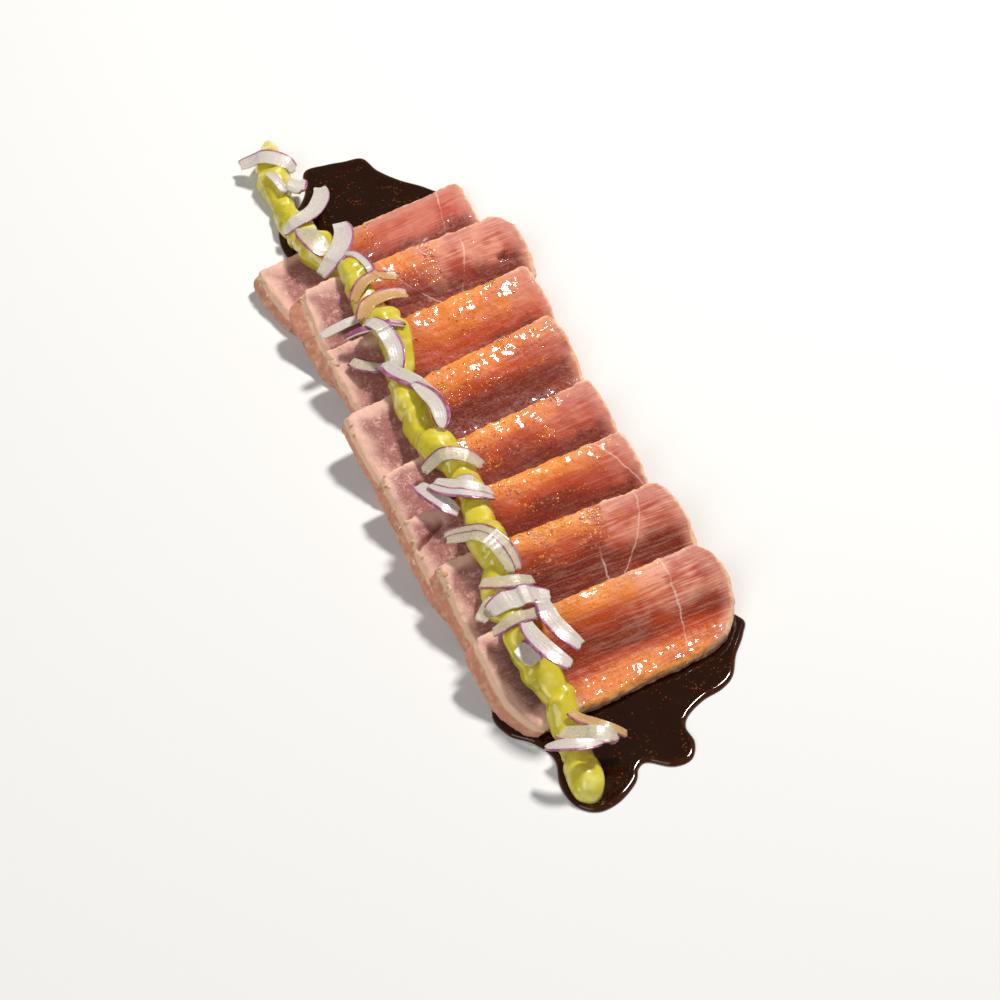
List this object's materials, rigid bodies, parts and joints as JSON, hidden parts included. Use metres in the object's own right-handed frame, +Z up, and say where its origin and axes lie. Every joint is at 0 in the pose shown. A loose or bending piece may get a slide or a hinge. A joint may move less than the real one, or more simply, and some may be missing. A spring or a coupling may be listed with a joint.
{
  "type": "tuna tataki",
  "caption": "Row of shingled seared tuna slices with a piped line of green cream and red onion slivers on top, ready to set on a dish.",
  "frame": {"origin": "middle of the row's footprint, on the surface that it lies on", "axes": "+Y along the row, from the front slice toward the back one; +X along the slices, to the right seen from the front; +Z up"},
  "size_m": [0.0802, 0.275, 0.0308],
  "materials": {
    "seared_tuna": "moist seared fish with a brown glaze",
    "green_cream": "smooth glossy cream",
    "red_onion": "wet translucent onion with purple skin",
    "brown_sauce": "thin glossy sauce"
  },
  "bodies": {
    "root": {"tuna_slice_1": "seared_tuna", "tuna_slice_2": "seared_tuna", "tuna_slice_3": "seared_tuna", "tuna_slice_4": "seared_tuna", "tuna_slice_5": "seared_tuna", "tuna_slice_6": "seared_tuna", "tuna_slice_7": "seared_tuna", "tuna_slice_8": "seared_tuna", "cream_line": "green_cream", "onion_sliver_01": "red_onion", "onion_sliver_02": "red_onion", "onion_sliver_03": "red_onion", "onion_sliver_04": "red_onion", "onion_sliver_05": "red_onion", "onion_sliver_06": "red_onion", "onion_sliver_07": "red_onion", "onion_sliver_08": "red_onion", "onion_sliver_09": "red_onion", "onion_sliver_10": "red_onion", "onion_sliver_11": "red_onion", "onion_sliver_12": "red_onion", "onion_sliver_13": "red_onion", "onion_sliver_14": "red_onion", "onion_sliver_15": "red_onion", "onion_sliver_16": "red_onion", "onion_sliver_17": "red_onion", "onion_sliver_18": "red_onion", "onion_sliver_19": "red_onion", "onion_sliver_20": "red_onion", "onion_sliver_21": "red_onion", "onion_sliver_22": "red_onion", "onion_sliver_23": "red_onion", "onion_sliver_24": "red_onion", "onion_sliver_25": "red_onion", "onion_sliver_26": "red_onion", "onion_sliver_27": "red_onion", "onion_sliver_28": "red_onion", "onion_sliver_29": "red_onion", "onion_sliver_30": "red_onion"}
  },
  "joints": []
}
